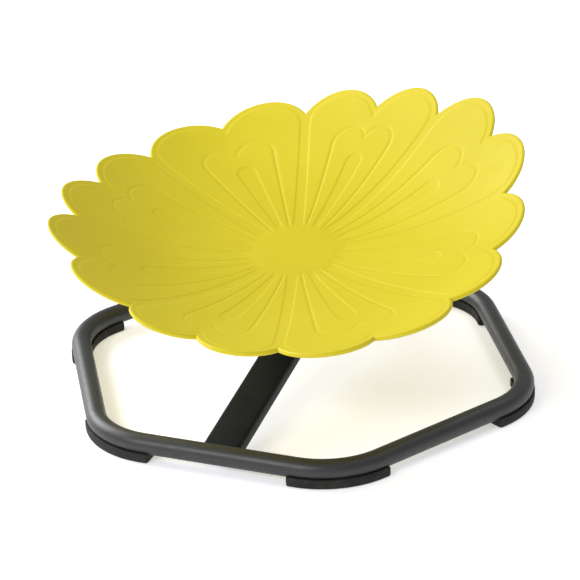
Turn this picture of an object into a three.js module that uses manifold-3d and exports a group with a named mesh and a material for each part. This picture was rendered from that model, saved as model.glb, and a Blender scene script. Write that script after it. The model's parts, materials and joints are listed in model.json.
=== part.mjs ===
// Children's spinning dish seat: a petal shaped plastic dish on a tilted ball bearing hub. A cross bar of
// rectangular tube carries it over a hexagonal ring of bent steel tube on six curved rubber feet.
// Units are millimetres. +Z is up, +X is to the right and -Y is the front, where the dish leans down.
import * as THREE from 'three';
import { mergeVertices } from 'three/addons/utils/BufferGeometryUtils.js';
import Module from 'manifold-3d';

const wasm = await Module();
wasm.setup();

const DEG = Math.PI / 180;
const GAP = 0.3; // assembly clearance between neighbouring pieces

// Base ring: a regular hexagon of round tube with generous corner bends.
const TUBE_RADIUS = 13.5;
const TUBE_WALL = 1.8;
const RING_CORNER_RADIUS = 331; // from the centre to the corner where two straight centrelines meet
const RING_BEND_RADIUS = 105;
const RING_APOTHEM = RING_CORNER_RADIUS * Math.cos(30 * DEG);
const FLOOR_TO_TUBE = 22; // height of the tube's centreline

// Feet: rubber pads that cradle the tube round each corner bend.
const FOOT_WIDTH = 29;
const FOOT_TOP = -8.5; // measured from the tube's centreline
const FOOT_STRAIGHT = 10; // the pad runs this far past each end of the bend
const FOOT_EDGE = 2.5;
const FOOT_SCREW_ANGLE = 18; // either side of the corner, measured about the bend's centre
const SCREW_RADIUS = 2.2;
const SCREW_HEAD_RADIUS = 4.6;
const SCREW_HEAD_HEIGHT = 3;
const SCREW_RECESS = 4.6; // depth of the counterbore in the underside of the foot
const SCREW_LENGTH = 12;

// Tilted axis: everything from the cross bar upwards is set out from the middle of the dish's disc.
const TILT = 9.6 * DEG;
const DISC_HEIGHT = 163.8; // above the tube's centreline
const HUB_HEIGHT = 104; // from the top of the cross bar to the top of the disc, along the axis

// Cross bar: rectangular tube, parallel to the dish up to the hub, then bent down to the back of the ring.
const BAR_WIDTH = 50;
const BAR_THICKNESS = 20;
const BAR_WALL = 2;
const BAR_BEND_RADIUS = 40;
const BAR_BEND_AT = 95; // distance behind the hub axis, in the tilted frame
const BAR_REAR_HEIGHT = 2; // of the bar's middle where it meets the rear tube

// Spindle and its mounting plate, bolted to the bar.
const PLATE_LENGTH = 112;
const PLATE_WIDTH = 50;
const PLATE_THICKNESS = 8;
const PLATE_BOLT_X = 16;
const PLATE_BOLT_Y = 44;
const PLATE_BOLT_RADIUS = 4;
const PLATE_NUT_HEIGHT = 6.5;
const SPINDLE_RADIUS = 9.7;
const SPINDLE_COLLAR_RADIUS = 13;

// Bearings, the 20 x 42 x 12 deep groove size.
const BEARING_BORE = 10;
const BEARING_INNER_LAND = 13.2;
const BEARING_OUTER_LAND = 17.8;
const BEARING_OUTSIDE = 21;
const BEARING_WIDTH = 12;
const BALL_RADIUS = 3.1;
const BALL_COUNT = 8;
const BALL_CIRCLE = (BEARING_INNER_LAND + BEARING_OUTER_LAND) / 2;
const CAGE_HALF_WIDTH = 0.9;
const CAGE_HALF_HEIGHT = 2;
const LOWER_BEARING = -87; // height of each bearing's lower face, down from the disc
const UPPER_BEARING = -57;

// Hub housing, which turns with the dish.
const HOUSING_RADIUS = 26;
const HOUSING_BOTTOM = -91.5;
const HUB_FLANGE_RADIUS = 60;
const HUB_FLANGE_THICKNESS = 6;
const DISH_SEAT = -34; // height of the face between hub flange and dish
const FLANGE_BOLT_CIRCLE = 45;
const FLANGE_BOLT_COUNT = 6;

// Dish: a shallow bowl with a saddle bend, eight petals of two lobes each, and a raised middle disc.
const DISH_RADIUS = 290; // of the round blank, about as far as the notches between petals
const DISC_RADIUS = 56;
const DISC_STEP = 0.4;
const BOWL_SLOPE = 0.036;
const BOWL_CURVE = 0.00096; // rise per square millimetre of distance from the disc
const SADDLE_CURVE = 0.000452; // added along the dish's long diagonal, taken away across it
const LEAN_CURVE = 0.000196; // three-fold ripple that lifts one low side and drops the other
const LEAN_PHASE = 80 * DEG;
const PETAL_COUNT = 8;
const PETAL_SWEEP = 2.3 * DEG; // petals bunch towards the saddle's low sides
const LOBE_RADIUS = 63.4;
const LOBE_CENTRE = 256.4;
const LOBE_OFFSET = 10.86 * DEG; // lobe centre from the petal's middle line
const LOBE_STEPS = 6; // facets on each lobe
const PETAL_STRETCH = 0.033; // every second petal is this share longer, and those between shorter
const DISH_STRETCH = 0.021; // the dish is this share narrower along its long diagonal and wider across
const SHELL_THICKNESS = 5;
const LIP_THICKNESS = 7.5;
const BOSS_RADIUS = 62;
const REST_SPIN = 41.4 * DEG; // how far the dish is turned on its axis as it stands

const BLACK_PAINT = { color: 0x26292b, roughness: 0.5, metalness: 0.1 };
const RUBBER = { color: 0x2a2a28, roughness: 0.85, metalness: 0 };
const YELLOW = { color: 0xe3d33a, roughness: 0.4, metalness: 0 };
const STEEL = { color: 0x9a9c9e, roughness: 0.35, metalness: 0.9 };
const BRASS = { color: 0xb08d4a, roughness: 0.35, metalness: 0.9 };

// ---- Solids and booleans -------------------------------------------------------------------------

function signedVolume(geometry) {
  const p = geometry.attributes.position;
  const index = geometry.index.array;
  const [a, b, c] = [new THREE.Vector3(), new THREE.Vector3(), new THREE.Vector3()];
  let sum = 0;
  for (let i = 0; i < index.length; i += 3) {
    a.fromBufferAttribute(p, index[i]);
    b.fromBufferAttribute(p, index[i + 1]);
    c.fromBufferAttribute(p, index[i + 2]);
    sum += a.dot(b.cross(c));
  }
  return sum / 6;
}

// Shares coincident vertices, drops flat triangles and turns the faces outwards.
function solid(geometry) {
  geometry.deleteAttribute('normal');
  geometry.deleteAttribute('uv');
  const merged = mergeVertices(geometry, 1e-3);
  const kept = [];
  const index = merged.index.array;
  for (let i = 0; i < index.length; i += 3) {
    const [a, b, c] = [index[i], index[i + 1], index[i + 2]];
    if (a !== b && b !== c && c !== a) kept.push(a, b, c);
  }
  merged.setIndex(kept);
  if (signedVolume(merged) < 0) {
    for (let i = 0; i < kept.length; i += 3) [kept[i + 1], kept[i + 2]] = [kept[i + 2], kept[i + 1]];
    merged.setIndex(kept);
  }
  return merged;
}

function toManifold(geometry) {
  const body = solid(geometry);
  const mesh = new wasm.Mesh({
    numProp: 3,
    vertProperties: new Float32Array(body.attributes.position.array),
    triVerts: new Uint32Array(body.index.array),
  });
  return new wasm.Manifold(mesh);
}

function fromManifold(body) {
  const mesh = body.getMesh();
  const geometry = new THREE.BufferGeometry();
  geometry.setAttribute('position', new THREE.BufferAttribute(mesh.vertProperties, 3));
  geometry.setIndex(new THREE.BufferAttribute(mesh.triVerts, 1));
  return geometry;
}

function join(first, ...others) {
  let body = toManifold(first);
  for (const other of others) body = body.add(toManifold(other));
  return fromManifold(body);
}

function cut(first, ...cutters) {
  let body = toManifold(first);
  for (const cutter of cutters) body = body.subtract(toManifold(cutter));
  return fromManifold(body);
}

// ---- Basic shapes --------------------------------------------------------------------------------

// Solid of revolution about Z from [radius, height] points. An open profile starts and ends on the axis.
function turned(points, segments = 24, closed = false) {
  const profile = points.map(([r, z]) => new THREE.Vector2(r, z));
  if (closed) profile.push(profile[0].clone());
  return new THREE.LatheGeometry(profile, segments).rotateX(Math.PI / 2);
}

function disc(radius, z0, z1, segments = 24) {
  return turned([[0, z0], [radius, z0], [radius, z1], [0, z1]], segments);
}

function tube(inner, outer, z0, z1, segments = 24) {
  return turned([[inner, z0], [outer, z0], [outer, z1], [inner, z1]], segments, true);
}

// A path through given stations, so that straight stretches need no steps of their own.
class StationPath extends THREE.Curve {
  constructor(stations) {
    super();
    this.stations = stations;
  }

  getUtoTmapping(u) {
    return u;
  }

  getPoint(t, target = new THREE.Vector3()) {
    const last = this.stations.length - 1;
    const place = t * last;
    const i = Math.min(Math.max(Math.floor(place), 0), last - 1);
    return target.copy(this.stations[i]).lerp(this.stations[i + 1], place - i);
  }
}

function sweep(section, stations, curveSegments = 12) {
  return new THREE.ExtrudeGeometry(section, {
    extrudePath: new StationPath(stations),
    steps: stations.length - 1,
    curveSegments,
    bevelEnabled: false,
  });
}

// ---- Base ----------------------------------------------------------------------------------------

// A point on the bend at a ring corner, turned by an angle about the bend's centre.
function bendPoint(corner, turn) {
  const centre = RING_CORNER_RADIUS - RING_BEND_RADIUS / Math.cos(30 * DEG);
  return new THREE.Vector3(
    centre * Math.cos(corner) + RING_BEND_RADIUS * Math.cos(corner + turn),
    centre * Math.sin(corner) + RING_BEND_RADIUS * Math.sin(corner + turn),
    0,
  );
}

function bendStations(corner, steps) {
  const stations = [];
  for (let i = 0; i <= steps; i += 1) stations.push(bendPoint(corner, (-30 + (60 * i) / steps) * DEG));
  return stations;
}

// Half of the ring, from the middle of the front side to the middle of the rear side.
function halfRing() {
  const section = new THREE.Shape();
  section.absarc(0, 0, TUBE_RADIUS, 0, 2 * Math.PI);
  const bore = new THREE.Path();
  bore.absarc(0, 0, TUBE_RADIUS - TUBE_WALL, 0, 2 * Math.PI);
  section.holes.push(bore);
  const stations = [new THREE.Vector3(0, -RING_APOTHEM, 0)];
  for (const corner of [-60, 0, 60]) stations.push(...bendStations(corner * DEG, 6));
  stations.push(new THREE.Vector3(0, RING_APOTHEM, 0));
  return sweep(section, stations, 7);
}

function screwPlaces(corner) {
  return [-FOOT_SCREW_ANGLE, FOOT_SCREW_ANGLE].map((turn) => bendPoint(corner, turn * DEG));
}

function baseRing() {
  const holes = [];
  for (let i = 0; i < 6; i += 1) {
    for (const place of screwPlaces(i * 60 * DEG)) {
      const hole = disc(SCREW_RADIUS + GAP, -TUBE_RADIUS - 1, -TUBE_RADIUS + 5, 8);
      holes.push(hole.translate(place.x, place.y, 0));
    }
  }
  return cut(join(halfRing(), halfRing().rotateZ(Math.PI)), ...holes);
}

// Section of a foot across the tube: x is down and y is sideways, as a swept section is laid.
function footSection() {
  const half = FOOT_WIDTH / 2;
  const cradle = TUBE_RADIUS + GAP;
  const reach = Math.acos(-FOOT_TOP / cradle);
  const section = new THREE.Shape();
  section.moveTo(FLOOR_TO_TUBE, -half + FOOT_EDGE);
  section.lineTo(FLOOR_TO_TUBE, half - FOOT_EDGE);
  section.lineTo(FLOOR_TO_TUBE - FOOT_EDGE, half);
  section.lineTo(-FOOT_TOP, half);
  section.absarc(0, 0, cradle, reach, -reach, true);
  section.lineTo(-FOOT_TOP, -half);
  section.lineTo(FLOOR_TO_TUBE - FOOT_EDGE, -half);
  section.closePath();
  return section;
}

function foot(corner) {
  const stations = bendStations(corner, 6);
  const start = new THREE.Vector3(Math.sin(corner - 30 * DEG), -Math.cos(corner - 30 * DEG), 0);
  const end = new THREE.Vector3(-Math.sin(corner + 30 * DEG), Math.cos(corner + 30 * DEG), 0);
  stations.unshift(stations[0].clone().addScaledVector(start, FOOT_STRAIGHT));
  stations.push(stations[stations.length - 1].clone().addScaledVector(end, FOOT_STRAIGHT));
  const cutters = [];
  for (const place of screwPlaces(corner)) {
    const shank = disc(SCREW_RADIUS + GAP, -FLOOR_TO_TUBE - 1, 0, 8);
    const recess = disc(SCREW_HEAD_RADIUS + GAP, -FLOOR_TO_TUBE - 1, -FLOOR_TO_TUBE + SCREW_RECESS, 12);
    cutters.push(shank.translate(place.x, place.y, 0), recess.translate(place.x, place.y, 0));
  }
  return cut(sweep(footSection(), stations, 4), ...cutters);
}

function footScrew() {
  const seat = -FLOOR_TO_TUBE + SCREW_RECESS - GAP;
  return turned(
    [
      [0, seat - SCREW_HEAD_HEIGHT],
      [SCREW_HEAD_RADIUS - 1, seat - SCREW_HEAD_HEIGHT],
      [SCREW_HEAD_RADIUS, seat - SCREW_HEAD_HEIGHT + 1],
      [SCREW_HEAD_RADIUS, seat],
      [SCREW_RADIUS, seat],
      [SCREW_RADIUS, seat + SCREW_LENGTH - 2],
      [0, seat + SCREW_LENGTH],
    ],
    8,
  );
}

// Turns a point behind the ring's centre and above its tube into the tilted frame of the bar's top face.
function toBarFrame(back, up) {
  const y = back - HUB_HEIGHT * Math.sin(TILT);
  const z = up - DISC_HEIGHT + HUB_HEIGHT * Math.cos(TILT);
  return [y * Math.cos(TILT) + z * Math.sin(TILT), z * Math.cos(TILT) - y * Math.sin(TILT)];
}

// Box with the bar's bent side view, made smaller all round by the inset and longer at both ends.
// In the side view x is backwards along the bar and y is up from its top face.
function barSolid(inset, extraLength) {
  const [frontX] = toBarFrame(-RING_APOTHEM, 0);
  const [rearX, rearY] = toBarFrame(RING_APOTHEM, BAR_REAR_HEIGHT);
  const middle = BAR_THICKNESS / 2;
  const half = middle - inset;
  // The bend turns the bar down about a point below it, until its middle line runs through the rear end.
  const dx = rearX - BAR_BEND_AT;
  const dy = rearY + middle + BAR_BEND_RADIUS;
  const bend = Math.atan2(dx, dy) - Math.acos(BAR_BEND_RADIUS / Math.hypot(dx, dy));
  const elbowPoint = (radius, angle) => [
    BAR_BEND_AT + radius * Math.sin(angle),
    radius * Math.cos(angle) - middle - BAR_BEND_RADIUS,
  ];
  const endX = rearX + extraLength * Math.cos(bend);
  const endY = rearY - extraLength * Math.sin(bend);
  const side = new THREE.Shape();
  side.moveTo(frontX - extraLength, -inset);
  for (let i = 0; i <= 6; i += 1) side.lineTo(...elbowPoint(BAR_BEND_RADIUS + half, (bend * i) / 6));
  side.lineTo(endX + half * Math.sin(bend), endY + half * Math.cos(bend));
  side.lineTo(endX - half * Math.sin(bend), endY - half * Math.cos(bend));
  for (let i = 6; i >= 0; i -= 1) side.lineTo(...elbowPoint(BAR_BEND_RADIUS - half, (bend * i) / 6));
  side.lineTo(frontX - extraLength, inset - BAR_THICKNESS);
  side.closePath();
  const width = BAR_WIDTH - 2 * inset;
  const bar = new THREE.ExtrudeGeometry(side, { depth: width, steps: 1, bevelEnabled: false });
  // Lays the side view into the YZ plane, centres its width and stands it on the ring's own axes.
  bar.translate(0, 0, -width / 2).rotateX(Math.PI / 2).rotateZ(Math.PI / 2).rotateX(TILT);
  return bar.translate(0, HUB_HEIGHT * Math.sin(TILT), DISC_HEIGHT - HUB_HEIGHT * Math.cos(TILT));
}

function crossBar() {
  const cutters = [-1, 1].map((end) => {
    const cope = disc(TUBE_RADIUS + GAP, -BAR_WIDTH, BAR_WIDTH, 48);
    return cope.rotateY(Math.PI / 2).translate(0, end * RING_APOTHEM, 0);
  });
  cutters.push(barSolid(BAR_WALL, TUBE_RADIUS));
  for (const [x, y] of plateBoltPlaces()) {
    const low = -HUB_HEIGHT - BAR_THICKNESS - 1;
    const hole = disc(PLATE_BOLT_RADIUS + GAP, low, -HUB_HEIGHT + 1, 12).translate(x, y, 0);
    cutters.push(hole.rotateX(TILT).translate(0, 0, DISC_HEIGHT));
  }
  return cut(barSolid(0, 0), ...cutters);
}

// ---- Spindle, fixed to the bar -------------------------------------------------------------------

function plateBoltPlaces() {
  return [[-1, -1], [1, -1], [1, 1], [-1, 1]].map(([i, j]) => [i * PLATE_BOLT_X, j * PLATE_BOLT_Y]);
}

function spindlePlate() {
  const [hx, hy, r] = [PLATE_WIDTH / 2, PLATE_LENGTH / 2, 8];
  const outline = new THREE.Shape();
  outline.absarc(hx - r, hy - r, r, 0, Math.PI / 2);
  outline.absarc(-hx + r, hy - r, r, Math.PI / 2, Math.PI);
  outline.absarc(-hx + r, -hy + r, r, Math.PI, 1.5 * Math.PI);
  outline.absarc(hx - r, -hy + r, r, 1.5 * Math.PI, 2 * Math.PI);
  for (const [x, y] of plateBoltPlaces()) {
    const hole = new THREE.Path();
    hole.absarc(x, y, PLATE_BOLT_RADIUS + GAP, 0, 2 * Math.PI);
    outline.holes.push(hole);
  }
  const height = PLATE_THICKNESS - GAP;
  const plate = new THREE.ExtrudeGeometry(outline, { depth: height, curveSegments: 8, bevelEnabled: false });
  return plate.translate(0, 0, -HUB_HEIGHT + GAP);
}

function spindle() {
  const foot = -HUB_HEIGHT + PLATE_THICKNESS + GAP;
  return turned(
    [
      [0, foot],
      [SPINDLE_COLLAR_RADIUS, foot],
      [SPINDLE_COLLAR_RADIUS, LOWER_BEARING - GAP],
      [SPINDLE_RADIUS, LOWER_BEARING - GAP],
      [SPINDLE_RADIUS, DISH_SEAT + 4],
      [SPINDLE_RADIUS - 1.5, DISH_SEAT + 5.5],
      [0, DISH_SEAT + 5.5],
    ],
    24,
  );
}

// Hexagon headed bolt with its shank upwards (up = 1) or downwards (up = -1) from the face at z.
function hexBolt(z, up, headHeight, shankLength, shankRadius) {
  const head = new THREE.CylinderGeometry(7.5, 7.5, headHeight, 6).rotateX(Math.PI / 2);
  head.translate(0, 0, z - (up * headHeight) / 2);
  const ends = [z - up * 1, z + up * shankLength].sort((a, b) => a - b);
  return join(head, disc(shankRadius, ends[0], ends[1], 10));
}

function nut(bore, cornerRadius, z0, z1, segments) {
  const body = new THREE.CylinderGeometry(cornerRadius, cornerRadius, z1 - z0, 6).rotateX(Math.PI / 2);
  return cut(body.translate(0, 0, (z0 + z1) / 2), disc(bore, z0 - 1, z1 + 1, segments));
}

// ---- Bearings ------------------------------------------------------------------------------------

// A race is a ring with a part-round groove that follows the balls.
function race(bore, land, outside, grooveSide, z) {
  const middle = z + BEARING_WIDTH / 2;
  const groove = BALL_RADIUS + GAP;
  const reach = Math.acos(Math.abs(land - BALL_CIRCLE) / groove);
  const grooved = [];
  for (let i = 0; i <= 4; i += 1) {
    const angle = reach * (-1 + i / 2);
    grooved.push([BALL_CIRCLE + grooveSide * groove * Math.cos(angle), middle + groove * Math.sin(angle)]);
  }
  const top = z + BEARING_WIDTH;
  const profile = grooveSide < 0
    ? [[bore, top], [bore, z], [land, z], ...grooved, [land, top]]
    : [[outside, z], [outside, top], [land, top], ...grooved.reverse(), [land, z]];
  return turned(profile, 20, true);
}

function ballCage(z) {
  const middle = z + BEARING_WIDTH / 2;
  const ring = tube(
    BALL_CIRCLE - CAGE_HALF_WIDTH,
    BALL_CIRCLE + CAGE_HALF_WIDTH,
    middle - CAGE_HALF_HEIGHT,
    middle + CAGE_HALF_HEIGHT,
    BALL_COUNT * 2,
  );
  const balls = [];
  for (let i = 0; i < BALL_COUNT; i += 1) {
    const angle = (i * 2 * Math.PI) / BALL_COUNT;
    const ball = new THREE.SphereGeometry(BALL_RADIUS, 8, 6);
    balls.push(ball.translate(BALL_CIRCLE * Math.cos(angle), BALL_CIRCLE * Math.sin(angle), middle));
  }
  return join(ring, ...balls);
}

// ---- Hub, which turns with the dish --------------------------------------------------------------

function flangeBoltPlaces() {
  const places = [];
  for (let i = 0; i < FLANGE_BOLT_COUNT; i += 1) {
    const angle = (i * 2 * Math.PI) / FLANGE_BOLT_COUNT;
    places.push([FLANGE_BOLT_CIRCLE * Math.cos(angle), FLANGE_BOLT_CIRCLE * Math.sin(angle)]);
  }
  return places;
}

function hubHousing() {
  const top = DISH_SEAT - GAP;
  const seat = BEARING_OUTSIDE + GAP;
  const shoulder = BEARING_OUTER_LAND + 0.5;
  const body = turned(
    [
      [HOUSING_RADIUS, HOUSING_BOTTOM],
      [HOUSING_RADIUS, top - HUB_FLANGE_THICKNESS - 3],
      [HOUSING_RADIUS + 3, top - HUB_FLANGE_THICKNESS],
      [HUB_FLANGE_RADIUS, top - HUB_FLANGE_THICKNESS],
      [HUB_FLANGE_RADIUS, top],
      [seat, top],
      [seat, UPPER_BEARING - GAP],
      [shoulder, UPPER_BEARING - GAP],
      [shoulder, LOWER_BEARING + BEARING_WIDTH + GAP],
      [seat, LOWER_BEARING + BEARING_WIDTH + GAP],
      [seat, HOUSING_BOTTOM],
    ],
    32,
    true,
  );
  const holes = flangeBoltPlaces().map(([x, y]) =>
    disc(4 + GAP, top - HUB_FLANGE_THICKNESS - 1, top + 1, 10).translate(x, y, 0),
  );
  return cut(body, ...holes);
}

// ---- Dish ----------------------------------------------------------------------------------------

// Height of the dish above its disc, at a distance and direction from the axis.
function bowlHeight(distance, angle) {
  const s = Math.max(distance - DISC_RADIUS, 0);
  const saddle = SADDLE_CURVE * Math.cos(2 * angle);
  const lean = -LEAN_CURVE * Math.cos(3 * angle + LEAN_PHASE);
  return BOWL_SLOPE * s + (BOWL_CURVE + saddle + lean) * s * s;
}

// Distance from the axis to the scalloped edge, from the petal's own angle.
function edgeDistance(angle) {
  const pitch = (2 * Math.PI) / PETAL_COUNT;
  const fromPetal = Math.abs(angle - Math.round(angle / pitch) * pitch);
  const fromLobe = fromPetal - LOBE_OFFSET;
  const across = LOBE_CENTRE * Math.sin(fromLobe);
  const scallop = LOBE_CENTRE * Math.cos(fromLobe) + Math.sqrt(LOBE_RADIUS ** 2 - across ** 2);
  return scallop * (1 + PETAL_STRETCH * Math.cos(4 * angle) - DISH_STRETCH * Math.cos(2 * angle));
}

// Bends a flat round blank into the dish: scalloped edge, swept petals, bowl and saddle.
function shapeDish(blank) {
  const p = blank.attributes.position;
  for (let i = 0; i < p.count; i += 1) {
    const [x, y, z] = [p.getX(i), p.getY(i), p.getZ(i)];
    const flat = Math.hypot(x, y);
    const petalAngle = Math.atan2(y, x);
    const outer = THREE.MathUtils.smoothstep(flat / DISH_RADIUS, 0.72, 1);
    const distance = flat * (1 + (edgeDistance(petalAngle) / DISH_RADIUS - 1) * outer);
    const sweepShare = Math.min(flat / DISC_RADIUS, 1);
    const angle = petalAngle + PETAL_SWEEP * sweepShare * Math.cos(2 * petalAngle + 40 * DEG);
    p.setXYZ(i, distance * Math.cos(angle), distance * Math.sin(angle), z + bowlHeight(distance, angle));
  }
  return blank;
}

function petalDish() {
  const petal = -DISC_STEP;
  const blank = turned(
    [
      [0, petal - SHELL_THICKNESS],
      [0.25 * DISH_RADIUS, petal - SHELL_THICKNESS],
      [0.45 * DISH_RADIUS, petal - SHELL_THICKNESS],
      [0.65 * DISH_RADIUS, petal - SHELL_THICKNESS],
      [0.83 * DISH_RADIUS, petal - SHELL_THICKNESS],
      [0.95 * DISH_RADIUS, petal - SHELL_THICKNESS],
      [0.985 * DISH_RADIUS, petal - LIP_THICKNESS],
      [DISH_RADIUS, petal - LIP_THICKNESS * 0.6],
      [DISH_RADIUS, petal - LIP_THICKNESS * 0.2],
      [0.985 * DISH_RADIUS, petal + 0.8],
      [0.96 * DISH_RADIUS, petal],
      [0.88 * DISH_RADIUS, petal],
      [0.76 * DISH_RADIUS, petal],
      [0.62 * DISH_RADIUS, petal],
      [0.48 * DISH_RADIUS, petal],
      [0.34 * DISH_RADIUS, petal],
      [DISC_RADIUS + 1, petal],
      [DISC_RADIUS, 0],
      [0, 0],
    ],
    PETAL_COUNT * 2 * LOBE_STEPS,
  );
  const boss = disc(BOSS_RADIUS, DISH_SEAT, -4, 32);
  const cutters = flangeBoltPlaces().map(([x, y]) => disc(5.3 + GAP, DISH_SEAT - 1, -15, 10).translate(x, y, 0));
  cutters.push(disc(24, DISH_SEAT - 1, -25, 24));
  return cut(join(shapeDish(solid(blank)), boss), ...cutters);
}

// ---- Assembly ------------------------------------------------------------------------------------

function piece(name, geometry, look) {
  const mesh = new THREE.Mesh(geometry, new THREE.MeshStandardMaterial(look));
  mesh.name = name;
  return mesh;
}

const model = new THREE.Group();

const base = new THREE.Group();
base.position.z = FLOOR_TO_TUBE;
model.add(base);
base.add(piece('base_ring', baseRing(), BLACK_PAINT));
base.add(piece('cross_bar', crossBar(), BLACK_PAINT));

const corners = ['right', 'rear_right', 'rear_left', 'left', 'front_left', 'front_right'];
corners.forEach((corner, i) => {
  const angle = i * 60 * DEG;
  base.add(piece(`foot_${corner}`, foot(angle), RUBBER));
  screwPlaces(angle).forEach((place, j) => {
    const screw = piece(`foot_screw_${corner}_${j + 1}`, footScrew(), STEEL);
    screw.position.copy(place);
    base.add(screw);
  });
});

const tilted = new THREE.Group();
tilted.position.z = DISC_HEIGHT;
tilted.rotation.x = TILT;
base.add(tilted);
tilted.add(piece('spindle_plate', spindlePlate(), BLACK_PAINT));
tilted.add(piece('spindle', spindle(), STEEL));
plateBoltPlaces().forEach(([x, y], i) => {
  const top = -HUB_HEIGHT + PLATE_THICKNESS + GAP;
  const shank = PLATE_THICKNESS + BAR_THICKNESS + PLATE_NUT_HEIGHT + 2;
  const bolt = piece(`plate_bolt_${i + 1}`, hexBolt(top, -1, 5, shank, PLATE_BOLT_RADIUS), STEEL);
  bolt.position.set(x, y, 0);
  const under = -HUB_HEIGHT - BAR_THICKNESS - GAP;
  const nutShape = nut(PLATE_BOLT_RADIUS + GAP, 7.5, under - PLATE_NUT_HEIGHT, under, 12);
  const plateNut = piece(`plate_nut_${i + 1}`, nutShape, STEEL);
  plateNut.position.set(x, y, 0);
  tilted.add(bolt, plateNut);
});

const upperTop = UPPER_BEARING + BEARING_WIDTH;
const lowerTop = LOWER_BEARING + BEARING_WIDTH;
for (const [level, z] of [['lower', LOWER_BEARING], ['upper', UPPER_BEARING]]) {
  const inner = race(BEARING_BORE, BEARING_INNER_LAND, BEARING_INNER_LAND, -1, z);
  const outer = race(BEARING_OUTER_LAND, BEARING_OUTER_LAND, BEARING_OUTSIDE, 1, z);
  tilted.add(piece(`${level}_bearing_inner_race`, inner, STEEL));
  tilted.add(piece(`${level}_bearing_outer_race`, outer, STEEL));
  tilted.add(piece(`${level}_ball_cage`, ballCage(z), BRASS));
}
const spacer = tube(BEARING_BORE, BEARING_INNER_LAND - 0.5, lowerTop + GAP, UPPER_BEARING - GAP, 20);
tilted.add(piece('bearing_spacer', spacer, STEEL));
tilted.add(piece('spindle_washer', tube(BEARING_BORE, 12.8, upperTop + GAP, upperTop + 2, 20), STEEL));
tilted.add(piece('spindle_lock_nut', nut(BEARING_BORE, 15, upperTop + 2 + GAP, upperTop + 12, 24), STEEL));

const clip = tube(18.6, BEARING_OUTSIDE, upperTop + GAP, upperTop + 1.8, 20);
tilted.add(piece('housing_circlip', clip, STEEL));
const seal = tube(SPINDLE_COLLAR_RADIUS + GAP, BEARING_OUTSIDE, HOUSING_BOTTOM, LOWER_BEARING - GAP, 24);
tilted.add(piece('lower_seal', seal, RUBBER));

const spinning = new THREE.Group();
spinning.rotation.z = REST_SPIN;
tilted.add(spinning);
spinning.add(piece('hub_housing', hubHousing(), BLACK_PAINT));
spinning.add(piece('petal_dish', petalDish(), YELLOW));
flangeBoltPlaces().forEach(([x, y], i) => {
  const insert = piece(`threaded_insert_${i + 1}`, tube(4 + GAP, 5.3, DISH_SEAT, -17, 10), BRASS);
  insert.position.set(x, y, 0);
  const under = DISH_SEAT - HUB_FLANGE_THICKNESS - 2 * GAP;
  const bolt = piece(`flange_bolt_${i + 1}`, hexBolt(under, 1, 5, 20, 4), STEEL);
  bolt.position.set(x, y, 0);
  spinning.add(insert, bolt);
});

// The origin is on the floor, under the middle of the whole object.
model.updateMatrixWorld(true);
const extent = new THREE.Box3().setFromObject(model, true);
model.position.set(-(extent.min.x + extent.max.x) / 2, -(extent.min.y + extent.max.y) / 2, -extent.min.z);

export default model;
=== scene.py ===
"""Looks of a children's spinning dish seat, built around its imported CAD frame.

The dish, tube ring, feet, cross bar and hub housing get fine smooth meshes that stand for their CAD
nodes. The bolts, bearings and other small parts keep their CAD meshes, with eased edges and materials of
their own. Sizes are in millimetres here, and each mesh is scaled to metres as it is made.
"""

import json
import math

import bmesh
import bpy
import numpy as np
from mathutils import Matrix, Vector


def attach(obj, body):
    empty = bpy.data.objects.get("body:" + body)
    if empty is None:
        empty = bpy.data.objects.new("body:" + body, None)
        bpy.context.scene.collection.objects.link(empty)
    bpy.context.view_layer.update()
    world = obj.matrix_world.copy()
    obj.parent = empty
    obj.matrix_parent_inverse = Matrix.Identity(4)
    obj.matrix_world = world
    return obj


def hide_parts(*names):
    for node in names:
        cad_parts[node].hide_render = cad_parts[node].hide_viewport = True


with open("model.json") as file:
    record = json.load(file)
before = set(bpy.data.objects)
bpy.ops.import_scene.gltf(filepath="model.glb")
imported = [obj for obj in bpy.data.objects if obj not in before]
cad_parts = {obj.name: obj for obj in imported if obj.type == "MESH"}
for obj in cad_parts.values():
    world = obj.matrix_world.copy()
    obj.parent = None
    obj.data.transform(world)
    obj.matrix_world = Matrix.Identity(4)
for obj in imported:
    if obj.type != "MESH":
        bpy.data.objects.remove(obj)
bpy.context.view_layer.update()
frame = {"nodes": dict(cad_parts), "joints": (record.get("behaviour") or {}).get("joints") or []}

MM = 0.001
RIGHT_ANGLE = math.pi / 2
GAP = 0.3  # assembly clearance between neighbouring pieces

# ---- Driving dimensions --------------------------------------------------------------------------

# Dish: the same bowl, saddle and scalloped edge as the CAD dish.
DISC_RADIUS = 56
DISC_STEP = 0.25  # the middle disc stands this much above the petals
DISC_EDGE = 3.5  # width of that step
RELIEF_FADE = 12  # over which the petals' relief comes in, outside the disc
BOWL_SLOPE = 0.036  # the bowl climbs by slope * s + curve * s * s at s outside the disc
BOWL_CURVE = 0.00096
SADDLE_CURVE = 0.000452  # added to the curve twice round the dish
LEAN_CURVE = 0.000196  # taken from it three times round
LEAN_PHASE = math.radians(80)
PETAL_COUNT = 8
PETAL_PITCH = 2 * math.pi / PETAL_COUNT
PETAL_SWEEP = math.radians(2.3)  # how far the petals bunch, twice round the dish
SWEEP_PHASE = math.radians(40)
LOBE_RADIUS = 63.4  # each petal ends in two round lobes
LOBE_CENTRE = 256.4
LOBE_OFFSET = math.radians(10.86)  # from the petal's middle line
NOTCH_BLEND = 5  # rounds off the relief's corner where the two lobes meet
PETAL_STRETCH = 0.033  # every second petal is this share longer, and those between shorter
DISH_STRETCH = 0.021  # the whole dish is this share narrower one way and wider the other
REST_SPIN = math.radians(41.4)
SHELL_THICKNESS = 5
LIP_THICKNESS = 7.5
LIP_ROUND = 4.2  # radius of the lip's upper edge
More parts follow.
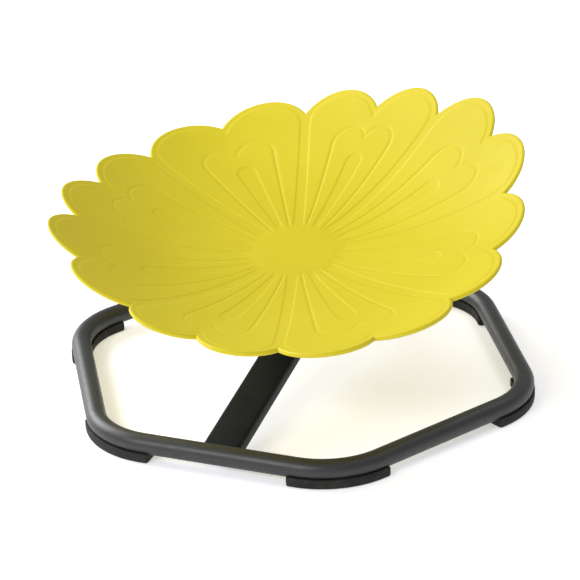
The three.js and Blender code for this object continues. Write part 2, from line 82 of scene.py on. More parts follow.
LIP_UNDER_WIDTH = 12  # the lip is thicker underneath this far in from the edge
LIP_UNDER_DROP = 2  # how far it then still hangs below the shell
LIP_UNDER_END = 18  # where it has run out into the shell
BOSS_RADIUS = 62
BOSS_BOTTOM = -34
BOSS_EDGE = 1.5
BOSS_FILLET = 5
BOSS_HOLE_RADIUS = 24
BOSS_HOLE_TOP = -25
BOSS_HOLE_EDGE = 1

# Relief on the petals, in each petal's own plan: u runs out along its middle line and v across it.
CHANNEL_HALF_WIDTH = 7.2  # of the sunk strip between two petals
RELIEF_DEPTH = 0.64
RELIEF_BLEND = 9  # rounds the corner between a petal's sides and its outer end
LIP_WIDTH = 11  # from the petals' raised outline to the edge
HEART_LOBE = (230, 23, 24.3)  # u, v and radius of each half's round top
HEART_START = (60, 12)
GROOVE_WIDTH = 5
GROOVE_DEPTH = 0.64
GROOVE_POWER = 1.5  # how softly the groove's sides meet the face
TEAR_TOP = (198, 0, 12.5)
TEAR_START = (60, 3.5)
RELIEF_STRETCH = 0.018  # every second heart is this share longer, and those between shorter
STEP_WIDTH = 2.8  # how far a step's slope runs sideways

# Rows and columns of the dish's mesh, close together where they cross or follow the relief's lines.
DISC_ROWS = (20, 40, 52, 54.2, 55.1, 56, 56.9, 57.8)
PETAL_ROWS = ((60, 74, 2.5), (74, 194, 8), (194, 216, 1.3), (216, 229, 3), (229, 259, 1.35))
EDGE_ROWS = 30
EDGE_CROWDING = 1.6  # above 1, the rows crowd towards the edge
LIP_STEPS = 5
UNDER_ROWS = (242, 200, 158, 116, 82)
COLUMN_COUNTS = (7, 5, 13, 5, 9, 5, 3)  # over half a petal: between its lines and across each of them
LINE_HALF_WIDTH = 1.9  # half the width over which the columns crowd on a line
LINE_HALF_SHARE = 0.026  # nearer the disc it is only this share of the distance from the axis

# Base.
TUBE_RADIUS = 13.5
RING_CORNER_RADIUS = 331  # to where the middle lines of two sides would meet
RING_BEND_RADIUS = 105
RING_APOTHEM = RING_CORNER_RADIUS * math.cos(math.radians(30))
BEND_CENTRE = RING_CORNER_RADIUS - RING_BEND_RADIUS / math.cos(math.radians(30))
FLOOR_TO_TUBE = 22
FOOT_WIDTH = 29
FOOT_TOP = -8.5  # from the tube's centreline
FOOT_STRAIGHT = 10  # how far a foot runs on past its bend
FOOT_LIP_ROUND = 1.4
FOOT_SOLE_ROUND = 3.6
FOOT_END_ROUND = 3.5
FOOT_SCREW_ANGLE = 18  # degrees either side of the corner, about the bend's centre
SCREW_RECESS_RADIUS = 4.9
SCREW_RECESS_DEPTH = 4.6
BAR_WIDTH = 50
BAR_THICKNESS = 20
BAR_EDGE_ROUND = 5
BAR_BEND_RADIUS = 40  # of the bar's middle line
BAR_BEND_AT = 95  # behind the hub
BAR_REAR_HEIGHT = 2  # of the bar's end over the middle of the rear tube
HUB_HEIGHT = 104  # from the bar's upper face to the middle of the disc

# Hub housing, with heights along the tilted axis from the middle of the disc.
BEARING_OUTSIDE = 21
BEARING_WIDTH = 12
UPPER_BEARING = -57
LOWER_BEARING = -87
SHOULDER_RADIUS = 18.3  # of the bore between the two bearings
HOUSING_RADIUS = 26
HOUSING_BOTTOM = -91.5
HOUSING_EDGE = 0.8
FLANGE_RADIUS = 60
FLANGE_THICKNESS = 6
FLANGE_FILLET = 4
FLANGE_EDGE = 1

# Edges with a larger angle than this are kept sharp, bevelled or split.
SHARP_ANGLE = math.radians(42)
BEVEL_ANGLE = math.radians(50)
SPLIT_ANGLE = math.radians(40)

# Where the dish turns: the joint gives the middle of its disc and the tilted axis.
spin = next(joint for joint in frame["joints"] if joint["name"] == "dish_spin")
disc_centre = Vector(spin["pos_m"]) / MM
axis = Vector(spin["axis"])
TILT = math.atan2(-axis.y, axis.z)
ring_centre = Vector((disc_centre.x, disc_centre.y, FLOOR_TO_TUBE))
to_tilted = Matrix.Translation(disc_centre) @ Matrix.Rotation(TILT, 4, "X")
to_spinning = to_tilted @ Matrix.Rotation(REST_SPIN, 4, "Z")

# ---- Meshes --------------------------------------------------------------------------------------


def mesh_piece(name, points, faces, place, body, material, slot, *replaced):
    """A closed piece from points in millimetres and their faces, placed and riding on its CAD body."""
    points = np.asarray(points, float)
    flat = np.concatenate([points, np.ones((len(points), 1))], 1) @ np.array(place.transposed(), float)
    mesh = bpy.data.meshes.new(name)
    mesh.from_pydata((flat[:, :3] * MM).tolist(), [], [list(face) for face in faces])
    face_outwards(mesh)
    mesh.polygons.foreach_set("use_smooth", [True] * len(mesh.polygons))
    mesh.set_sharp_from_angle(angle=SHARP_ANGLE)
    piece = bpy.data.objects.new(name, mesh)
    bpy.context.scene.collection.objects.link(piece)
    piece.data.materials.append(material)
    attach(piece, body)
    if replaced:
        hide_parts(*replaced)
    return piece


def face_outwards(mesh):
    """Turns all faces of a closed mesh to the outside."""
    work = bmesh.new()
    work.from_mesh(mesh)
    bmesh.ops.recalc_face_normals(work, faces=work.faces)
    work.to_mesh(mesh)
    work.free()


def grid_faces(rows, columns, closed_rows=False):
    """Quads of a grid whose columns close on themselves, and whose rows do too if closed_rows."""
    faces = []
    for i in range(rows if closed_rows else rows - 1):
        low, high = i * columns, (i + 1) % rows * columns
        for j in range(columns):
            following = (j + 1) % columns
            faces.append((low + j, low + following, high + following, high + j))
    return faces


def swept(stations, section, closed):
    """A section of (sideways, up) points swept along stations of (point, sideways, up) vectors."""
    points = []
    for place, across, up in stations:
        points += [list(place + across * s + up * h) for s, h in section]
    faces = grid_faces(len(stations), len(section), closed)
    if not closed:
        last = (len(stations) - 1) * len(section)
        faces += [tuple(range(len(section)))[::-1], tuple(range(last, last + len(section)))]
    return points, faces


def turned(profile, segments, closed):
    """A (radius, height) profile turned round the axis. An open profile starts and ends on the axis."""
    ends = (None, None) if closed else (profile[0], profile[-1])
    body = profile if closed else profile[1:-1]
    angles = [2 * math.pi * i / segments for i in range(segments)]
    points = [(r * math.cos(a), r * math.sin(a), z) for r, z in body for a in angles]
    faces = grid_faces(len(body), segments, closed)
    if not closed:
        points += [(0, 0, ends[0][1]), (0, 0, ends[1][1])]
        first, last = len(points) - 2, len(points) - 1
        rim = (len(body) - 1) * segments
        faces += [(first, (j + 1) % segments, j) for j in range(segments)]
        faces += [(last, rim + j, rim + (j + 1) % segments) for j in range(segments)]
    return points, faces


def arc(cx, cy, radius, start, end, steps):
    """Points on an arc from start to end, in degrees."""
    angles = [math.radians(start + (end - start) * i / steps) for i in range(steps + 1)]
    return [(cx + radius * math.cos(a), cy + radius * math.sin(a)) for a in angles]


# ---- Materials -----------------------------------------------------------------------------------

# The stretch of the noise that spans a material's two shades, and the one that spans its roughness.
COLOUR_SPREAD = (0.35, 0.65)
ROUGHNESS_SPREAD = (0.3, 0.7)


class Surface:
    """A Principled material with colour, roughness and bump from noise in the object's own space."""

    def __init__(self, name, **values):
        self.material = bpy.data.materials.new(name)
        self.material.use_nodes = True
        self.nodes = self.material.node_tree.nodes
        self.shader = self.nodes["Principled BSDF"]
        self.coordinates = self.nodes.new("ShaderNodeTexCoord").outputs["Object"]
        self.last_normal = None
        for socket, value in values.items():
            self.shader.inputs[socket.replace("_", " ")].default_value = value

    def link(self, output, socket):
        self.material.node_tree.links.new(output, socket)

    def noise(self, scale, detail=3.0, stretch=(1, 1, 1)):
        """Noise of that many waves to the metre."""
        mapping = self.nodes.new("ShaderNodeMapping")
        mapping.inputs["Scale"].default_value = stretch
        self.link(self.coordinates, mapping.inputs["Vector"])
        texture = self.nodes.new("ShaderNodeTexNoise")
        texture.inputs["Scale"].default_value = scale
        texture.inputs["Detail"].default_value = detail
        self.link(mapping.outputs["Vector"], texture.inputs["Vector"])
        return texture.outputs["Fac"]

    def colour(self, factor, dark, light):
        """Lets the base colour wander between two shades."""
        ramp = self.nodes.new("ShaderNodeValToRGB")
        for element, place, shade in zip(ramp.color_ramp.elements, COLOUR_SPREAD, (dark, light)):
            element.position = place
            element.color = (*shade, 1)
        self.link(factor, ramp.inputs["Fac"])
        self.link(ramp.outputs["Color"], self.shader.inputs["Base Color"])

    def roughness(self, factor, low, high):
        """Lets the roughness wander between two values."""
        spread = self.nodes.new("ShaderNodeMapRange")
        spread.inputs["From Min"].default_value = ROUGHNESS_SPREAD[0]
        spread.inputs["From Max"].default_value = ROUGHNESS_SPREAD[1]
        spread.inputs["To Min"].default_value = low
        spread.inputs["To Max"].default_value = high
        self.link(factor, spread.inputs["Value"])
        self.link(spread.outputs["Result"], self.shader.inputs["Roughness"])

    def bump(self, factor, height_mm, strength):
        """Adds fine relief on top of any bump given before."""
        bump = self.nodes.new("ShaderNodeBump")
        bump.inputs["Distance"].default_value = height_mm * MM
        bump.inputs["Strength"].default_value = strength
        self.link(factor, bump.inputs["Height"])
        if self.last_normal:
            self.link(self.last_normal, bump.inputs["Normal"])
        self.last_normal = bump.outputs["Normal"]
        self.link(self.last_normal, self.shader.inputs["Normal"])


def moulded_plastic():
    """Satin yellow polyethylene: a fine moulded grain, faint unevenness and slightly clouded colour."""
    surface = Surface("yellow_plastic", IOR=1.48, Specular_IOR_Level=0.27)
    surface.colour(surface.noise(7, 2), (0.575, 0.479, 0.0095), (0.600, 0.503, 0.0135))
    surface.roughness(surface.noise(60), 0.46, 0.56)
    surface.bump(surface.noise(14, 1), 0.5, 0.25)
    surface.bump(surface.noise(1500, 2), 0.015, 0.25)
    return surface.material


def powder_coat(name, gloss, dark, light):
    """Satin black powder coat with a slight orange peel."""
    surface = Surface(name, IOR=1.5, Specular_IOR_Level=gloss)
    surface.colour(surface.noise(30), dark, light)
    surface.roughness(surface.noise(90), 0.42, 0.50)
    surface.bump(surface.noise(420, 2), 0.05, 0.35)
    return surface.material


def matt_rubber(name, dark, light):
    """Moulded rubber with a dusty bloom and a fine pitted skin."""
    surface = Surface(name, IOR=1.45, Specular_IOR_Level=0.25)
    surface.colour(surface.noise(55), dark, light)
    surface.roughness(surface.noise(120), 0.58, 0.76)
    surface.bump(surface.noise(1100, 3), 0.06, 0.6)
    return surface.material


def metal(name, dark, light, rough):
    """Bare or plated metal with fine turning marks across its own Z."""
    grain = (1, 1, 14)
    surface = Surface(name, Metallic=1.0)
    surface.colour(surface.noise(80), dark, light)
    surface.roughness(surface.noise(200, 2, grain), *rough)
    surface.bump(surface.noise(500, 2, grain), 0.02, 0.4)
    return surface.material


YELLOW = moulded_plastic()
POWDER_COAT = powder_coat("black_powder_coat", 0.68, (0.007, 0.0083, 0.0095), (0.011, 0.0128, 0.0145))
# The bar has the same powder coat as the tubes, painted darker and bluer with less gloss: painted shade
# from the dish above it.
SHADED_BAR_COAT = powder_coat("bar_powder_coat_painted_shade", 0.1, (0.0060, 0.0090, 0.0145), (0.0090, 0.0125, 0.0195))
RUBBER = matt_rubber("black_rubber", (0.014, 0.0138, 0.0128), (0.024, 0.0236, 0.0218))
SEAL_RUBBER = matt_rubber("seal_rubber", (0.014, 0.014, 0.014), (0.022, 0.022, 0.022))
ZINC = metal("zinc_steel", (0.48, 0.49, 0.52), (0.66, 0.67, 0.69), (0.25, 0.4))
BEARING_STEEL = metal("bearing_steel", (0.60, 0.61, 0.63), (0.74, 0.75, 0.76), (0.1, 0.2))
BRASS = metal("brass", (0.60, 0.44, 0.20), (0.74, 0.58, 0.30), (0.22, 0.35))

# ---- Dish ----------------------------------------------------------------------------------------


def smooth_step(x):
    """From 0 to 1 with a level start and end."""
    x = np.clip(x, 0, 1)
    return x * x * (3 - 2 * x)


def rise(distance, width=STEP_WIDTH):
    """From 0 to 1 across a step centred where distance is 0."""
    return smooth_step(distance / width + 0.5)


def smooth_max(a, b, blend):
    """The larger of two, rounded over where they are closer than blend."""
    mix = np.clip(0.5 + (a - b) / (2 * blend), 0, 1)
    return b + (a - b) * mix + blend * mix * (1 - mix)


def fold(angle):
    """Angle from the nearest petal's middle line, and that petal's own angle."""
    middle = np.round(angle / PETAL_PITCH) * PETAL_PITCH
    return np.abs(angle - middle), middle


def stretch(angle):
    """The share by which the dish's outline reaches further or less far at an angle."""
    return 1 + PETAL_STRETCH * np.cos(4 * angle) - DISH_STRETCH * np.cos(2 * angle)


def edge_distance(angle):
    """Distance from the axis to the scalloped edge, and the cosine of the edge's slant to the radius."""
    from_lobe = fold(angle)[0] - LOBE_OFFSET
    along = LOBE_CENTRE * np.cos(from_lobe)
    across = LOBE_CENTRE * np.sin(from_lobe)
    reach = np.sqrt(LOBE_RADIUS**2 - across**2)
    slant = across * (1 + along / reach) / (along + reach)
    return (along + reach) * stretch(angle), 1 / np.sqrt(1 + slant**2)


def inside_edge(distance, angle):
    """How far a point is inside the lobes' round edges, with the notch between them rounded off."""
    scale = stretch(angle)
    off_middle = fold(angle)[0]
    depths = []
    for off_lobe in (off_middle - LOBE_OFFSET, off_middle + LOBE_OFFSET):
        outward = np.maximum(distance / scale * np.cos(off_lobe) - LOBE_CENTRE, 0)
        depths.append(LOBE_RADIUS - np.hypot(outward, distance / scale * np.sin(off_lobe)))
    return smooth_max(*depths, NOTCH_BLEND) * scale


def swept_angle(distance, angle):
    """The angle at which a column really stands, since the petals aren't evenly spread."""
    share = np.minimum(distance / DISC_RADIUS, 1)
    return angle + PETAL_SWEEP * share * np.cos(2 * angle + SWEEP_PHASE)


def bowl_height(distance, angle):
    """Height of the smooth bowl over the middle of its disc."""
    s = np.maximum(distance - DISC_RADIUS, 0)
    saddle = SADDLE_CURVE * np.cos(2 * angle)
    lean = -LEAN_CURVE * np.cos(3 * angle + LEAN_PHASE)
    return BOWL_SLOPE * s + (BOWL_CURVE + saddle + lean) * s * s


def tangent_side(start, lobe):
    """Where the straight side from start touches the round top, and the side's own direction."""
    du, dv = lobe[0] - start[0], lobe[1] - start[1]
    direction = math.atan2(dv, du) + math.asin(lobe[2] / math.hypot(du, dv))
    return (lobe[0] - lobe[2] * math.sin(direction), lobe[1] + lobe[2] * math.cos(direction)), direction


def outline_distance(u, v, start, lobe):
    """Signed distance to the edge of a shape with a straight side and a round top, positive inside it."""
    touch, direction = tangent_side(start, lobe)
    side = (u - start[0]) * math.sin(direction) - (v - start[1]) * math.cos(direction)
    beyond = (u - touch[0]) * math.cos(direction) + (v - touch[1]) * math.sin(direction) > 0
    top = lobe[2] - np.hypot(u - lobe[0], v - lobe[1])
    return np.where(beyond, top, side)


def relief(distance, angle):
    """Height of the dish's upper face over its smooth bowl."""
    off_middle, middle = fold(angle)
    scale = 1 + RELIEF_STRETCH * np.cos(4 * middle)
    u = distance * np.cos(off_middle) / scale
    v = distance * np.sin(off_middle) / scale
    from_channel = distance * np.sin(PETAL_PITCH / 2 - off_middle) - CHANNEL_HALF_WIDTH
    from_lip = inside_edge(distance, angle) - LIP_WIDTH
    petal = -smooth_max(-from_channel, -from_lip, RELIEF_BLEND)
    sunk = RELIEF_DEPTH * (1 - rise(petal))
    heart = outline_distance(u, v, HEART_START, HEART_LOBE)
    groove = GROOVE_DEPTH * np.clip(1 - (2 * heart / GROOVE_WIDTH) ** 2, 0, 1) ** GROOVE_POWER
    tear = outline_distance(u, v, TEAR_START, TEAR_TOP)
    sunk = sunk + groove + RELIEF_DEPTH * rise(tear)
    away = distance - DISC_RADIUS
    return -DISC_STEP * rise(away, DISC_EDGE) - sunk * smooth_step(away / RELIEF_FADE)


def column_folds(distance):
    """Angles of the columns of half a petal, which crowd along the relief's lines to keep them crisp."""
    tear_touch, tear_way = tangent_side(TEAR_START, TEAR_TOP)
    heart_touch, heart_way = tangent_side(HEART_START, HEART_LOBE)
    held = np.clip(distance, DISC_RADIUS, None)
    tear_at = np.minimum(held, tear_touch[0])
    heart_at = np.minimum(held, heart_touch[0])
    tear = np.arctan2(TEAR_START[1] + (tear_at - TEAR_START[0]) * math.tan(tear_way), tear_at)
    heart = np.arctan2(HEART_START[1] + (heart_at - HEART_START[0]) * math.tan(heart_way), heart_at)
    channel = PETAL_PITCH / 2 - np.arcsin(CHANNEL_HALF_WIDTH / held)
    band = np.minimum(LINE_HALF_WIDTH, LINE_HALF_SHARE * held) / held
    knots = [0]
    for line in (tear, heart, channel):
        knots += [line - band, line + band]
    knots.append(PETAL_PITCH / 2)
    folds = [0.0]
    for start, end, count in zip(knots, knots[1:], COLUMN_COUNTS):
        folds += [start + (end - start) * (i + 1) / count for i in range(count)]
    return np.array(folds)


def column_angles(distance):
    """Angles of all columns round the dish at one distance from the axis."""
    folds = column_folds(distance)
    petal = np.concatenate([-folds[-2:0:-1], folds])
    return np.concatenate([petal + k * PETAL_PITCH for k in range(PETAL_COUNT)])


def spaced(start, end, step):
    """Even values from start up to, but without, end, about a step apart."""
    count = max(1, round((end - start) / step))
    return [start + (end - start) * i / count for i in range(count)]


def upper_rows():
    """Rows of (distance, angle, height) over the upper face, from the disc out to the start of the lip."""
    distances = list(DISC_ROWS)
    for start, end, step in PETAL_ROWS:
        distances += spaced(start, end, step)
    rows = []
    for distance in distances:
        angle = column_angles(distance)
        rows.append((distance + 0 * angle, angle, relief(distance, angle)))
    inner = distances[-1]
    angle = column_angles(inner)
    edge, slant = edge_distance(angle)
    lip_start = edge - LIP_ROUND / slant
    for i in range(1, EDGE_ROWS + 1):
        share = 1 - (1 - i / EDGE_ROWS) ** EDGE_CROWDING
        distance = inner + (lip_start - inner) * share
        rows.append((distance, angle, relief(distance, angle)))
    return rows


def lip_rows(angle, lip_top):
    """Rows round the lip: its wide upper round and then the smaller round beneath."""
    edge, slant = edge_distance(angle)
    under_round = LIP_THICKNESS - LIP_ROUND
    rows = []
    for i in range(1, LIP_STEPS + 1):
        turn = RIGHT_ANGLE * i / LIP_STEPS
        inward = LIP_ROUND * (1 - math.sin(turn)) / slant
        rows.append((edge - inward, angle, lip_top - LIP_ROUND * (1 - math.cos(turn))))
    for i in range(1, LIP_STEPS):
        turn = RIGHT_ANGLE * i / (LIP_STEPS - 1)
        inward = under_round * (1 - math.cos(turn)) / slant
        rows.append((edge - inward, angle, lip_top - LIP_ROUND - under_round * math.sin(turn)))
    return rows


def under_rows(angle):
    """Rows from the lip over the underside to the fillet at the boss."""
    edge = edge_distance(angle)[0]
    under = -DISC_STEP - SHELL_THICKNESS
    places = [(edge - LIP_UNDER_WIDTH, under - LIP_UNDER_DROP), (edge - LIP_UNDER_END, under)]
    places += [(distance, under) for distance in UNDER_ROWS]
    places += arc(BOSS_RADIUS + BOSS_FILLET, under - BOSS_FILLET, BOSS_FILLET, 90, 180, 4)
    return [(distance + 0 * angle, angle, height + 0 * angle) for distance, height in places]


def row_points(distance, turn, height):
    """Points of one row, each at its own angle about the axis."""
    return np.stack([distance * np.cos(turn), distance * np.sin(turn), height + 0 * turn], 1)


def petal_dish():
    """The moulded dish, one closed skin from the middle of its disc round to the bolting boss beneath."""
    rows = upper_rows()
    angle, lip_top = rows[-1][1:]
    rows += lip_rows(angle, lip_top) + under_rows(angle)
    points = []
    for distance, row_angle, height in rows:
        turn = swept_angle(distance, row_angle)
        points.append(row_points(distance, turn, height + bowl_height(distance, turn)))
    last_turn = swept_angle(BOSS_RADIUS, angle)
    boss = [(BOSS_RADIUS, BOSS_BOTTOM + BOSS_EDGE), (BOSS_RADIUS - BOSS_EDGE, BOSS_BOTTOM)]
    boss.append((BOSS_HOLE_RADIUS + BOSS_HOLE_EDGE, BOSS_BOTTOM))
    boss.append((BOSS_HOLE_RADIUS, BOSS_BOTTOM + BOSS_HOLE_EDGE))
    boss.append((BOSS_HOLE_RADIUS, BOSS_HOLE_TOP))
    points += [row_points(radius, last_turn, height) for radius, height in boss]
    columns = len(last_turn)
    faces = grid_faces(len(points), columns)
    points = np.concatenate([*points, [[0, 0, 0], [0, 0, BOSS_HOLE_TOP]]])
    top, bottom = len(points) - 2, len(points) - 1
    rim = len(points) - 2 - columns
    faces += [(top, (j + 1) % columns, j) for j in range(columns)]
    faces += [(bottom, rim + j, rim + (j + 1) % columns) for j in range(columns)]
    mesh_piece("dish", points, faces, to_spinning, "seat", YELLOW, "yellow_plastic", "petal_dish")


# ---- Base ----------------------------------------------------------------------------------------


def bend_stations(corner, start, end, steps):
    """Stations round a ring bend, with angles measured in degrees about the bend's centre."""
    stations = []
    for i in range(steps + 1):
        angle = corner + math.radians(start + (end - start) * i / steps)
        outward = Vector((math.cos(angle), math.sin(angle), 0))
        middle = Vector((math.cos(corner), math.sin(corner), 0)) * BEND_CENTRE
        stations.append((middle + outward * RING_BEND_RADIUS, outward, Vector((0, 0, 1))))
    return stations


def base_ring():
    """The round tube, bent at six corners and closed on itself."""
    stations = []
    for i in range(6):
        stations += bend_stations(math.radians(60 * i), -30, 30, 20)
    section = arc(0, 0, TUBE_RADIUS, 0, 360, 56)[:-1]
    points, faces = swept(stations, section, True)
    place = Matrix.Translation(ring_centre)
    mesh_piece("ring_tube", points, faces, place, "base", POWDER_COAT, "black_powder_coat", "base_ring")


def foot_section():
    """Across the tube: a round cradle on top, a flat sole below, and eased edges."""
    half = FOOT_WIDTH / 2
    cradle = TUBE_RADIUS + GAP
    reach = math.degrees(math.asin(-FOOT_TOP / cradle))
    lip, sole = FOOT_LIP_ROUND, FOOT_SOLE_ROUND
    section = arc(0, 0, cradle, 180 + reach, 360 - reach, 16)
    section += arc(half - lip, FOOT_TOP - lip, lip, 90, 0, 3)
    section += arc(half - sole, -FLOOR_TO_TUBE + sole, sole, 0, -90, 5)
    section += arc(-half + sole, -FLOOR_TO_TUBE + sole, sole, -90, -180, 5)
    section += arc(-half + lip, FOOT_TOP - lip, lip, 180, 90, 3)
    return section[::-1]


def foot(corner_name, corner):
    """One rubber foot round a bend of the ring, with rounded ends and recesses for its two screws."""
    stations = bend_stations(corner, -30, 30, 24)
    section = foot_section()
    middle = Vector((0, 0, (FOOT_TOP - FLOOR_TO_TUBE) / 2))
    ends = []
    for station, way in ((stations[0], -1), (stations[-1], 1)):
        place, outward, up = station
        along = up.cross(outward) * way
        for out, inset in arc(FOOT_STRAIGHT - FOOT_END_ROUND, FOOT_END_ROUND, FOOT_END_ROUND, -90, 0, 4):
            shrink = 1 - 2 * inset / FOOT_WIDTH
            shift = middle * (1 - shrink)
            ends.append((place + along * out + shift, outward * shrink, up * shrink))
    count = len(ends) // 2
    stations = ends[count - 1 :: -1] + stations + ends[count:]
    points, faces = swept(stations, section, False)
    name = f"foot_pad_{corner_name}"
    place = Matrix.Translation(ring_centre)
    pad = mesh_piece(name, points, faces, place, "base", RUBBER, "black_rubber", f"foot_{corner_name}")
    for turn in (-FOOT_SCREW_ANGLE, FOOT_SCREW_ANGLE):
        drill_screw_recess(pad, bend_stations(corner, turn, turn, 1)[0][0])


def drill_screw_recess(pad, centre):
    """Cuts the counterbore for a screw head into the sole of a foot."""
    low, high = -FLOOR_TO_TUBE - 1, SCREW_RECESS_DEPTH - FLOOR_TO_TUBE
    profile = [(0, low), (SCREW_RECESS_RADIUS, low), (SCREW_RECESS_RADIUS, high), (0, high)]
    points, faces = turned(profile, 24, False)
    mesh = bpy.data.meshes.new("cutter")
    at = centre + ring_centre
    mesh.from_pydata([[(p[i] + at[i]) * MM for i in range(3)] for p in points], [], faces)
    cutter = bpy.data.objects.new("cutter", mesh)
    bpy.context.scene.collection.objects.link(cutter)
    cut = pad.modifiers.new("recess", "BOOLEAN")
    cut.operation = "DIFFERENCE"
    cut.solver = "EXACT"
    cut.object = cutter
    bake_modifiers(pad)
    bpy.data.objects.remove(cutter)


def bake_modifiers(piece):
    """Makes the result of a piece's modifiers its own mesh."""
    graph = bpy.context.evaluated_depsgraph_get()
    graph.update()
    mesh = bpy.data.meshes.new_from_object(piece.evaluated_get(graph))
    piece.modifiers.clear()
    piece.data = mesh


def bar_path():
    """Stations along the bar's middle, from the front tube up past the hub and down to the rear tube."""
    along = Vector((0, math.cos(TILT), math.sin(TILT)))
    up = Vector((0, -math.sin(TILT), math.cos(TILT)))
    tube_to_disc = disc_centre.z - FLOOR_TO_TUBE
    hub_foot = Vector((0, HUB_HEIGHT * math.sin(TILT), tube_to_disc - HUB_HEIGHT * math.cos(TILT)))
    half = BAR_THICKNESS / 2
    front = -(RING_APOTHEM + hub_foot.y) / math.cos(TILT)
    rear = Vector((0, RING_APOTHEM, BAR_REAR_HEIGHT)) - hub_foot
    rear_along, rear_up = rear.dot(along), rear.dot(up)
    away = (rear_along - BAR_BEND_AT, rear_up + half + BAR_BEND_RADIUS)
    bend = math.atan2(*away) - math.acos(BAR_BEND_RADIUS / math.hypot(*away))
    steps = 12
    flat_places = [(front + (BAR_BEND_AT - front) * i / steps, -half, 0) for i in range(steps)]
    bend_places = []
    for i in range(steps + 1):
        turn = bend * i / steps
        drop = BAR_BEND_RADIUS * (math.cos(turn) - 1)
        bend_places.append((BAR_BEND_AT + BAR_BEND_RADIUS * math.sin(turn), drop - half, turn))
    places = flat_places + bend_places + [(rear_along, rear_up, bend)]
    across = Vector((1, 0, 0))
    stations = []
    for forward, height, turn in places:
        normal = up * math.cos(turn) + along * math.sin(turn)
        stations.append((hub_foot + along * forward + up * height, across, normal))
    return stations


def bar_section():
    """The bar's flat rectangle with rounded corners, as (sideways, up) points."""
    across = BAR_WIDTH / 2 - BAR_EDGE_ROUND
    up = BAR_THICKNESS / 2 - BAR_EDGE_ROUND
    section = []
    for quarter, (x, y) in enumerate(((across, up), (-across, up), (-across, -up), (across, -up))):
        section += arc(x, y, BAR_EDGE_ROUND, 90 * quarter, 90 * quarter + 90, 5)
    return section


def cross_bar():
    """The bar that carries the hub, from the front side of the ring to the rear side."""
    points, faces = swept(bar_path(), bar_section(), False)
    place = Matrix.Translation(ring_centre)
    # The bar's darker, bluer, less glossy coat is painted shade from the dish overhead.
    mesh_piece("bar", points, faces, place, "base", SHADED_BAR_COAT, "black_powder_coat", "cross_bar")


def hub_housing():
    """The turned housing of the bearings with its bolting flange, edges eased."""
    top = BOSS_BOTTOM - GAP
    flange_under = top - FLANGE_THICKNESS
    seat = BEARING_OUTSIDE + GAP
    shoulder_top = UPPER_BEARING - GAP
    shoulder_foot = LOWER_BEARING + BEARING_WIDTH + GAP
    profile = [(seat, top), (seat, shoulder_top), (SHOULDER_RADIUS, shoulder_top)]
    profile += [(SHOULDER_RADIUS, shoulder_foot), (seat, shoulder_foot), (seat, HOUSING_BOTTOM)]
    profile.append((HOUSING_RADIUS - HOUSING_EDGE, HOUSING_BOTTOM))
    profile.append((HOUSING_RADIUS, HOUSING_BOTTOM + HOUSING_EDGE))
    profile += arc(HOUSING_RADIUS + FLANGE_FILLET, flange_under - FLANGE_FILLET, FLANGE_FILLET, 180, 90, 4)
    profile += [(FLANGE_RADIUS - FLANGE_EDGE, flange_under), (FLANGE_RADIUS, flange_under + FLANGE_EDGE)]
    profile += [(FLANGE_RADIUS, top - FLANGE_EDGE), (FLANGE_RADIUS - FLANGE_EDGE, top)]
    points, faces = turned(profile[::-1], 96, True)
    mesh_piece("hub", points, faces, to_spinning, "seat", POWDER_COAT, "black_powder_coat", "hub_housing")


# ---- CAD nodes that stay -------------------------------------------------------------------------


def finish_for(node):
    """The material and bevel width in millimetres of a carried-over CAD node."""
    if node == "spindle_plate":
        return POWDER_COAT, 0.8
    if node == "lower_seal":
        return SEAL_RUBBER, 0.3
    if "race" in node:
        return BEARING_STEEL, 0.3
    if "cage" in node or "insert" in node:
        return BRASS, 0
    return ZINC, 0.4


def dress_cad_node(node):
    """Gives a carried-over CAD node its material, eased edges and smooth round faces."""
    piece = frame["nodes"][node]
    material, bevel_width = finish_for(node)
    piece.data.materials.clear()
    piece.data.materials.append(material)
    for polygon in piece.data.polygons:
        polygon.use_smooth = True
    weld = piece.modifiers.new("weld", "WELD")
    weld.merge_threshold = 0.01 * MM
    if bevel_width:
        bevel = piece.modifiers.new("bevel", "BEVEL")
        bevel.width = bevel_width * MM
        bevel.segments = 2
        bevel.limit_method = "ANGLE"
        bevel.angle_limit = BEVEL_ANGLE
    split = piece.modifiers.new("split", "EDGE_SPLIT")
    split.split_angle = SPLIT_ANGLE


# ---- Stage ---------------------------------------------------------------------------------------


def add_floor():
    """A wide pale floor, in metres, that glows a little so that it stays near white."""
    half = 12
    corners = [(-half, -half, 0), (half, -half, 0), (half, half, 0), (-half, half, 0)]
    mesh = bpy.data.meshes.new("floor")
    mesh.from_pydata(corners, [], [(0, 1, 2, 3)])
    floor = bpy.data.objects.new("floor", mesh)
    bpy.context.scene.collection.objects.link(floor)
    surface = Surface("pale_floor", Roughness=0.9, Emission_Color=(1, 1, 1, 1), Emission_Strength=0.42)
    surface.colour(surface.noise(3), (0.80, 0.805, 0.87), (0.82, 0.825, 0.89))
    mesh.materials.append(surface.material)


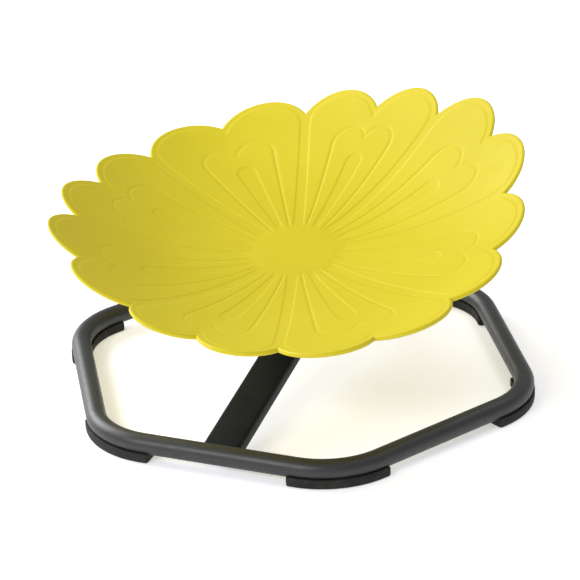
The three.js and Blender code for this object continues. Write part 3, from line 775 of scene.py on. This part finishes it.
def add_light(name, place, size, watts):
    """A white rectangular area light, in metres, aimed at the object's middle."""
    data = bpy.data.lights.new(name, "AREA")
    data.shape = "RECTANGLE"
    data.size, data.size_y = size
    data.energy = watts
    light = bpy.data.objects.new(name, data)
    bpy.context.scene.collection.objects.link(light)
    light.location = place
    aim = Vector((0, 0, 0.15)) - Vector(place)
    light.rotation_euler = aim.to_track_quat("-Z", "Y").to_euler()


def add_studio():
    """An even white world with a large light on the left, a weaker one in front and a faint one above."""
    world = bpy.data.worlds.new("studio")
    world.use_nodes = True
    background = world.node_tree.nodes["Background"]
    background.inputs["Color"].default_value = (1, 1, 1, 1)
    background.inputs["Strength"].default_value = 0.475
    bpy.context.scene.world = world
    bpy.context.scene.view_settings.view_transform = "Standard"
    add_light("key", (-2.3, 0.45, 1.3), (1.9, 1.6), 79)
    add_light("front", (-0.75, -2.45, 1.75), (1.4, 0.5), 37)
    add_light("top", (0.9, 0.6, 2.3), (1.8, 1.0), 11)


def add_camera():
    """A long lens from the front and a little to the right, looking down on the dish."""
    data = bpy.data.cameras.new("camera")
    data.sensor_width = 36
    data.lens = 163.65
    camera = bpy.data.objects.new("camera", data)
    bpy.context.scene.collection.objects.link(camera)
    pitch, heading, roll = math.radians(24.777), math.radians(21.534), math.radians(-1.706)
    from_ring = Vector((1174.6, -3000.4, 1592.5))
    place = Matrix.Translation((ring_centre + from_ring) * MM)
    turn = Matrix.Rotation(heading, 4, "Z") @ Matrix.Rotation(RIGHT_ANGLE - pitch, 4, "X")
    camera.matrix_world = place @ turn @ Matrix.Rotation(roll, 4, "Z")
    data.clip_end = 60
    bpy.context.scene.camera = camera


# ---- Everything together -------------------------------------------------------------------------

add_camera()
add_floor()
add_studio()
petal_dish()
base_ring()
corner_names = ("right", "rear_right", "rear_left", "left", "front_left", "front_right")
for index, corner_name in enumerate(corner_names):
    foot(corner_name, math.radians(60 * index))
cross_bar()
hub_housing()
for node in sorted(frame["nodes"]):
    if not frame["nodes"][node].hide_render:
        dress_cad_node(node)
